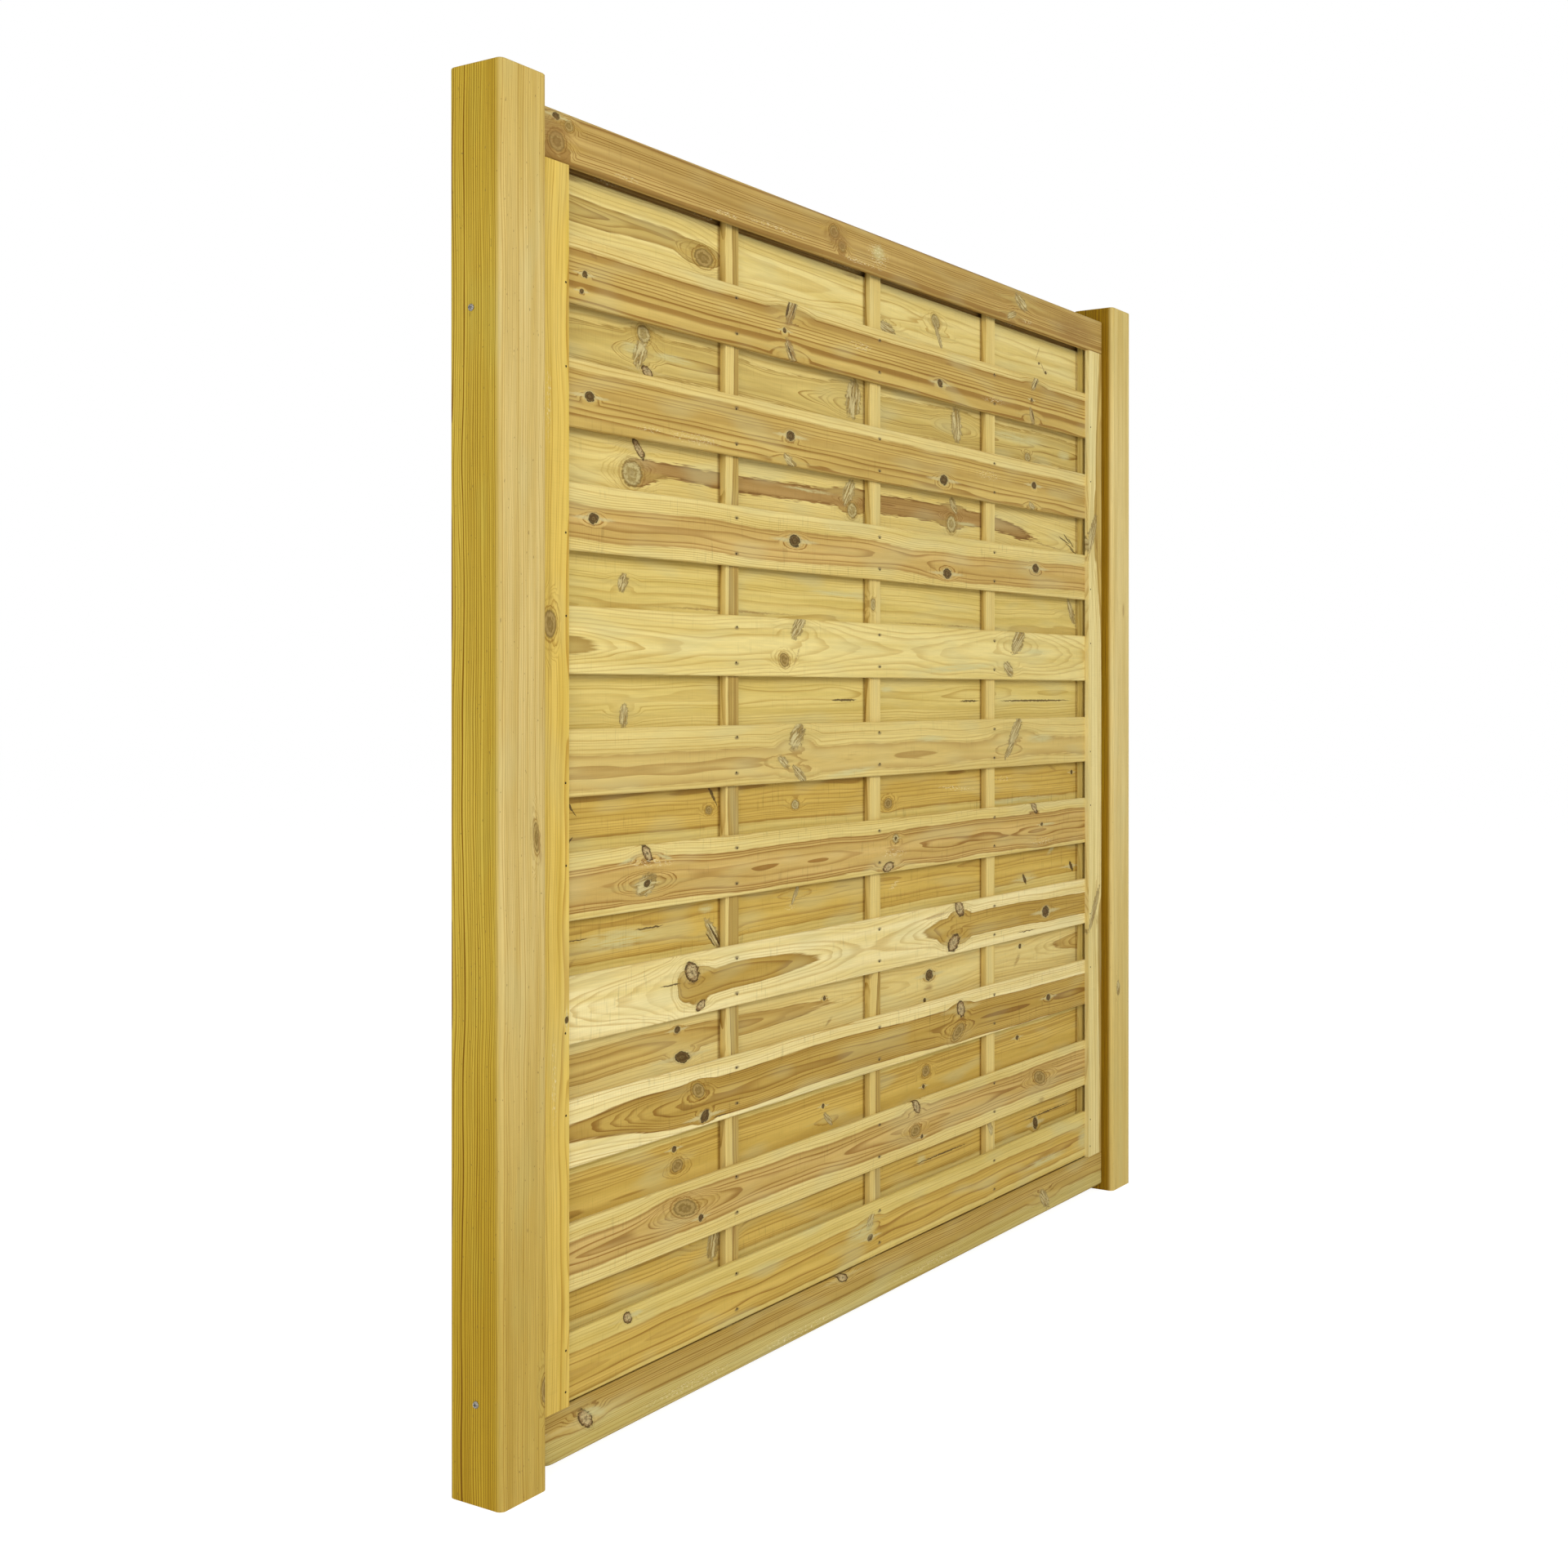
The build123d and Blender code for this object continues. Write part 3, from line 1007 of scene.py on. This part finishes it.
BOTTOM_RAIL = timber(
    SILL_BROWN, straight(62, 40, -6, 4), 75.0,
    bark(-796, 8, 38, 19, -42), green(-776, 12, 60, 16, -20), bark(-133, 31, 30, 13, -15),
    spike(622, -4, 50, 24, -45), fleck(-560, -18, 260, 18), fleck(-250, -22, 300, 16),
    fleck(150, -18, 300, 14), dark(-885, 12, 5, 4), dark(-884, -6, 5, 4),
    ring_gap=3.6, planing=0.4, greenness=0.25, ring_strength=0.9, sway=0.4,
)
LEFT_STILE = timber(
    OCHRE, upright(44, 60, 6, 8), 30.0,
    ringed(1128, -4, 36, 24), fleck(1420, -6, 120, 12), fleck(520, 4, 160, 12), dark(600, 30, 9, 7),
    ring_gap=3.2, ring_strength=0.75, planing=0.2, greenness=0.15,
)
RIGHT_STILE = timber(
    CREAM,
    curved((0, 40, 30), (560, 26, 30), (640, 40, 34), (1100, 44, 30), (1360, 20, 26), (1840, 34, 30)),
    34.0,
    spike(1366, -18, 80, 26, 28), stain(1330, -28, 70, 5, 22), spike(590, -8, 90, 18, 30),
    stain(575, -14, 70, 4, 30),
    ring_gap=5.0, planing=0.2,
)
LEFT_POST = timber(
    POST_PALE, upright(-150, 150, 14, 14), 0.0,
    ringed(850, 22, 36, 11, -6), stain(838, 29, 60, 8, -6), ringed(131, 40, 34, 15),
    ring_gap=2.5, ring_strength=0.75, planing=0.1, greenness=0.2,
    # Yellower tone and painted light on the left side face.
    specks=0.6, damp=1.0, flank=(1.15, 1.07, 0.40),
)
RIGHT_POST = timber(
    POST_CREAM, upright(-140, 150, 12, 12), 0.0,
    stain(1210, 10, 40, 12), spike(420, -16, 30, 14),
    ring_gap=2.5, ring_strength=0.55, planing=0.1, greenness=0.2,
    # Painted shade on the left side face.
    specks=0.4, damp=0.6, flank=(0.50, 0.36, 0.03),
)
# Painted shade on each batten's left side face.
BATTEN_SIDE_SHADE: Colour = (0.96, 0.88, 0.66)
batten = partial(timber, BATTEN_TWO, ring_gap=3.2, planing=0.2, flank=BATTEN_SIDE_SHADE)
BATTENS: tuple[TimberFinish, ...] = (
    batten(
        curved((0, 18, 9), (480, 15, 8), (700, 6, 6), (1190, 6, 6), (1400, 18, 9), (1840, 17, 8)), 18.0,
        stain(230, 2, 80, 16), stain(130, 0, 40, 20),
    ),
    batten(
        curved((0, 14, 8), (450, 15, 9), (620, 26, 16), (1840, 28, 20)), 17.0,
        pale(1187, -8, 20, 14), stain(560, -12, 30, 10, 40),
    ),
    batten(upright(30, 24, 4, 4), 14.0, spike(222, -4, 40, 14, -30)),
)
END_BATTEN = timber(OLIVE, upright(20, 14, 4, 4), 16.0, ring_gap=3.0, planing=0.2)


@dataclass(frozen=True)
class MetalFinish:
    """How a small steel part looks: its clean and dull colours, and how rough it is."""

    FILM_GRAIN = (1.6, 1.6, 1.6)
    name: str
    clean: Colour
    dull: Colour
    metallic: float
    roughness: float

    def make(self) -> bpy.types.Material:
        """Make the material.

        Returns:
            The finished material.
        """
        recipe = Recipe(bpy.data.materials.new(self.name))
        place = recipe.vector("MULTIPLY", recipe.node("ShaderNodeTexCoord", {}, {}, "Object"), (MM, MM, MM))
        film = recipe.noise(place, self.FILM_GRAIN)
        inputs = {
            "Base Color": recipe.mix(film.ease(0.3, 0.7), self.clean, self.dull),
            "Metallic": self.metallic,
            "Roughness": film * 0.2 + self.roughness,
            "Specular IOR Level": 0.05 + 0.45 * self.metallic,
        }
        return recipe.finish(recipe.node("ShaderNodeBsdfPrincipled", {}, inputs))


ZINC = MetalFinish("bright_zinc", (0.40, 0.39, 0.36), (0.18, 0.16, 0.13), 1.0, 0.34)
# Near-black brad heads: rust and painted shade of the sunk hole.
DARK_BRAD_AND_HOLE_SHADE = MetalFinish("sunk_brad_and_hole_shade", (0.050, 0.034, 0.016), (0.022, 0.014, 0.006), 0.0, 0.6)


def dress(node: bpy.types.Object, material: bpy.types.Material) -> None:
    """Give a piece its one material."""
    node.data.materials.clear()
    node.data.materials.append(material)


@dataclass
class Timbers:
    """Sticks of timber of one kind, each with its own finish."""

    names: tuple[str, ...]
    finishes: tuple[TimberFinish, ...]
    lie: Lie
    first_seed: int

    def build(self, nodes: dict[str, bpy.types.Object]) -> None:
        """Dress each stick.

        Args:
            nodes: the CAD nodes by name.
        """
        for place, (name, finish) in enumerate(zip(self.names, self.finishes)):
            recipe = TimberRecipe(name, finish, self.lie, self.first_seed + place)
            dress(nodes[name], recipe.build())
            LOG.info("%s dressed", name)


@dataclass
class Brads:
    """Small sunk nails, drawn as low discs on the slats and the frame, in metres; their dark colour is rust
    and painted shade of the sunk hole.
    """

    SPREAD = 0.027
    TAPER = 0.8
    DRIFT_ALONG = 0.0015
    DRIFT_UP = 0.002
    FRAME_DRIFT = 0.004
    SLATS = range(1, 11)
    BATTENS = range(1, 4)
    radius: float = 0.0017
    proud: float = 0.0002
    frame_inset: float = 0.008
    sides: int = 12

    def discs(self, name: str, places: Sequence[Vector], facing: float) -> bpy.types.Object:
        """Make one piece of many low discs.

        Args:
            name: the piece's name.
            places: the middle of each disc, on the wood.
            facing: minus one for discs that face the front, one for the back.

        Returns:
            The piece.
        """
        corners, faces = [], []
        for place in places:
            first = len(corners)
            for step in range(self.sides):
                turn = math.tau * step / self.sides
                ring = Vector((math.cos(turn), 0.0, math.sin(turn))) * self.radius
                corners.append(place + ring)
                corners.append(place + ring * self.TAPER + Vector((0.0, facing * self.proud, 0.0)))
            rim = [first + 2 * step for step in range(self.sides)]
            for low, following in zip(rim, rim[1:] + rim[:1]):
                faces.append((low, following, following + 1, low + 1))
            faces.append([low + 1 for low in rim])
        mesh = bpy.data.meshes.new(name)
        mesh.from_pydata(corners, [], faces)
        mesh.update()
        piece = bpy.data.objects.new(name, mesh)
        bpy.context.scene.collection.objects.link(piece)
        return piece

    def on_slats(self, layer: str, facing: float) -> list[Vector]:
        """Places of a layer's brads: a pair wherever a slat crosses a middle batten.

        Args:
            layer: front or back.
            facing: minus one for the front, one for the back.

        Returns:
            The places.
        """
        places = []
        for number in self.SLATS:
            low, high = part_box(f"{layer}_slat_{number:02d}")
            face = low.y if facing < 0 else high.y
            for upright_number in self.BATTENS:
                left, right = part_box(f"middle_batten_{upright_number}")
                rise = self.DRIFT_UP * math.sin(5.0 * number + upright_number)
                for side in (-1, 1):
                    drift = self.DRIFT_ALONG * math.sin(7.0 * number + 3.0 * upright_number + side)
                    along = (left.x + right.x) / 2 + drift
                    height = (low.z + high.z) / 2 + side * self.SPREAD + rise
                    places.append(Vector((along, face, height)))
        return places

    def on_frame(self, layer: str, facing: float) -> list[Vector]:
        """Places of the odd brads that pin a layer's slats in the stiles' grooves.

        Args:
            layer: front or back.
            facing: minus one for the front, one for the back.

        Returns:
            The places.
        """
        places = []
        for stile in ("left_stile", "right_stile"):
            low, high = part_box(stile)
            face = low.y if facing < 0 else high.y
            along = high.x - self.frame_inset if stile == "left_stile" else low.x + self.frame_inset
            for number in self.SLATS:
                bottom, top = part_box(f"{layer}_slat_{number:02d}")
                for side in (-1, 1):
                    shift = self.FRAME_DRIFT * math.sin(3.0 * number + 2.0 * side)
                    if shift > 0.0:
                        height = (bottom.z + top.z) / 2 + side * self.SPREAD + shift
                        places.append(Vector((along + shift / 2, face, height)))
        return places

    def build(self, finish: bpy.types.Material) -> None:
        """Make the brads of both layers.

        Args:
            finish: the brads' material.
        """
        for layer, facing in (("front", -1.0), ("back", 1.0)):
            places = self.on_slats(layer, facing) + self.on_frame(layer, facing)
            piece = self.discs(f"{layer}_brads", places, facing)
            dress(piece, finish)
            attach(piece, "root")
            LOG.info("%s_brads made", layer)


WHITE: Colour = (1.0, 1.0, 1.0)
SHOWN_RAYS = ("Is Camera Ray", "Is Glossy Ray", "Is Transmission Ray")


def shown(recipe: Recipe) -> Field:
    """One for rays that show the background: the camera's own, and those mirrored or let through."""
    camera, glossy, through = (recipe.node("ShaderNodeLightPath", {}, {}, name) for name in SHOWN_RAYS)
    return (camera + glossy + through).least(1.0)


@dataclass(frozen=True)
class Lamp:
    """One square lamp: its place and side in metres, and its power in watts."""

    name: str
    place: Triple
    side: float
    power: float


LAMPS = (
    Lamp("key_lamp", (-0.8, -4.8, 2.9), 2.0, 122.0),
    Lamp("side_lamp", (-5.0, -2.2, 2.2), 2.0, 84.0),
    Lamp("fill_lamp", (2.4, 5.0, 2.6), 3.0, 45.0),
)


@dataclass
class Studio:
    """White floor and background, soft light, and the camera, in metres and degrees."""

    floor_size: float = 60.0
    floor_grey: float = 0.8
    floor_glow: float = 1.43
    glow_share: float = 0.6
    sky: float = 0.44
    target: Triple = (0.0, 0.0, 0.9)
    camera_place: Triple = (-2.8235, -1.6812, 1.0354)
    camera_turn: Triple = (89.87, 0.0, -56.60)
    sensor: float = 36.0
    lens: float = 44.256
    shift: float = -0.05474

    def floor(self) -> None:
        """Make the pale floor, which keeps the object's shadow."""
        half = self.floor_size / 2
        corners = [(-half, -half, 0), (half, -half, 0), (half, half, 0), (-half, half, 0)]
        mesh = bpy.data.meshes.new("studio_floor")
        mesh.from_pydata(corners, [], [(0, 1, 2, 3)])
        floor = bpy.data.objects.new("studio_floor", mesh)
        bpy.context.scene.collection.objects.link(floor)
        recipe = Recipe(bpy.data.materials.new("white_floor"))
        matt = recipe.node("ShaderNodeBsdfDiffuse", {}, {"Color": (self.floor_grey,) * 3})
        glow = recipe.node("ShaderNodeEmission", {}, {"Color": WHITE, "Strength": self.floor_glow})
        share = shown(recipe) * self.glow_share
        both = recipe.node("ShaderNodeMixShader", {}, {0: share, 1: matt, 2: glow})
        dress(floor, recipe.finish(both))

    def background(self) -> None:
        """Make an even white surround that also lights the scene."""
        world = bpy.data.worlds.new("white_surround")
        recipe = Recipe(world)
        light = recipe.node("ShaderNodeBackground", {}, {"Color": WHITE, "Strength": self.sky})
        seen = recipe.node("ShaderNodeBackground", {}, {"Color": WHITE, "Strength": 1.0})
        both = recipe.node("ShaderNodeMixShader", {}, {0: shown(recipe), 1: light, 2: seen})
        recipe.node("ShaderNodeOutputWorld", {}, {"Surface": both})
        bpy.context.scene.world = world

    def hang(self, lamp: Lamp) -> None:
        """Hang one lamp, turned to the middle of the panel.

        Args:
            lamp: the lamp.
        """
        data = bpy.data.lights.new(lamp.name, "AREA")
        data.shape = "SQUARE"
        data.size = lamp.side
        data.energy = lamp.power
        light = bpy.data.objects.new(lamp.name, data)
        light.location = lamp.place
        way = Vector(self.target) - Vector(lamp.place)
        light.rotation_euler = way.to_track_quat("-Z", "Y").to_euler()
        bpy.context.scene.collection.objects.link(light)

    def camera(self) -> None:
        """Set the camera where the photograph was taken from."""
        data = bpy.data.cameras.new("camera")
        data.sensor_width = self.sensor
        data.lens = self.lens
        data.shift_y = self.shift
        camera = bpy.data.objects.new("camera", data)
        camera.location = self.camera_place
        camera.rotation_euler = [math.radians(turn) for turn in self.camera_turn]
        bpy.context.scene.collection.objects.link(camera)
        bpy.context.scene.camera = camera

    def build(self) -> None:
        """Set up the whole studio."""
        self.floor()
        self.background()
        for lamp in LAMPS:
            self.hang(lamp)
        self.camera()
        bpy.context.scene.view_settings.view_transform = "Standard"


def main() -> None:
    """Dress the panel, add the brads and set up the studio."""
    logging.basicConfig(level=logging.INFO, format="%(name)s: %(message)s")
    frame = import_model()
    nodes = frame["nodes"]
    slats, battens = Brads.SLATS, Brads.BATTENS
    assemblies = (
        Timbers(("left_post", "right_post"), (LEFT_POST, RIGHT_POST), Lie.UPRIGHT, 1),
        Timbers(("top_rail", "bottom_rail"), (TOP_RAIL, BOTTOM_RAIL), Lie.LEVEL, 4),
        Timbers(("left_stile", "right_stile"), (LEFT_STILE, RIGHT_STILE), Lie.UPRIGHT, 7),
        Timbers(tuple(f"middle_batten_{n}" for n in battens), BATTENS, Lie.UPRIGHT, 10),
        Timbers(("left_end_batten", "right_end_batten"), (END_BATTEN, END_BATTEN), Lie.UPRIGHT, 14),
        Timbers(tuple(f"front_slat_{n:02d}" for n in slats), FRONT_SLATS, Lie.LEVEL, 20),
        Timbers(tuple(f"back_slat_{n:02d}" for n in slats), BACK_SLATS, Lie.LEVEL, 40),
    )
    for assembly in assemblies:
        assembly.build(nodes)
    dress(nodes["post_screws"], ZINC.make())
    Brads().build(DARK_BRAD_AND_HOLE_SHADE.make())
    Studio().build()


if __name__ == "__main__":
    main()
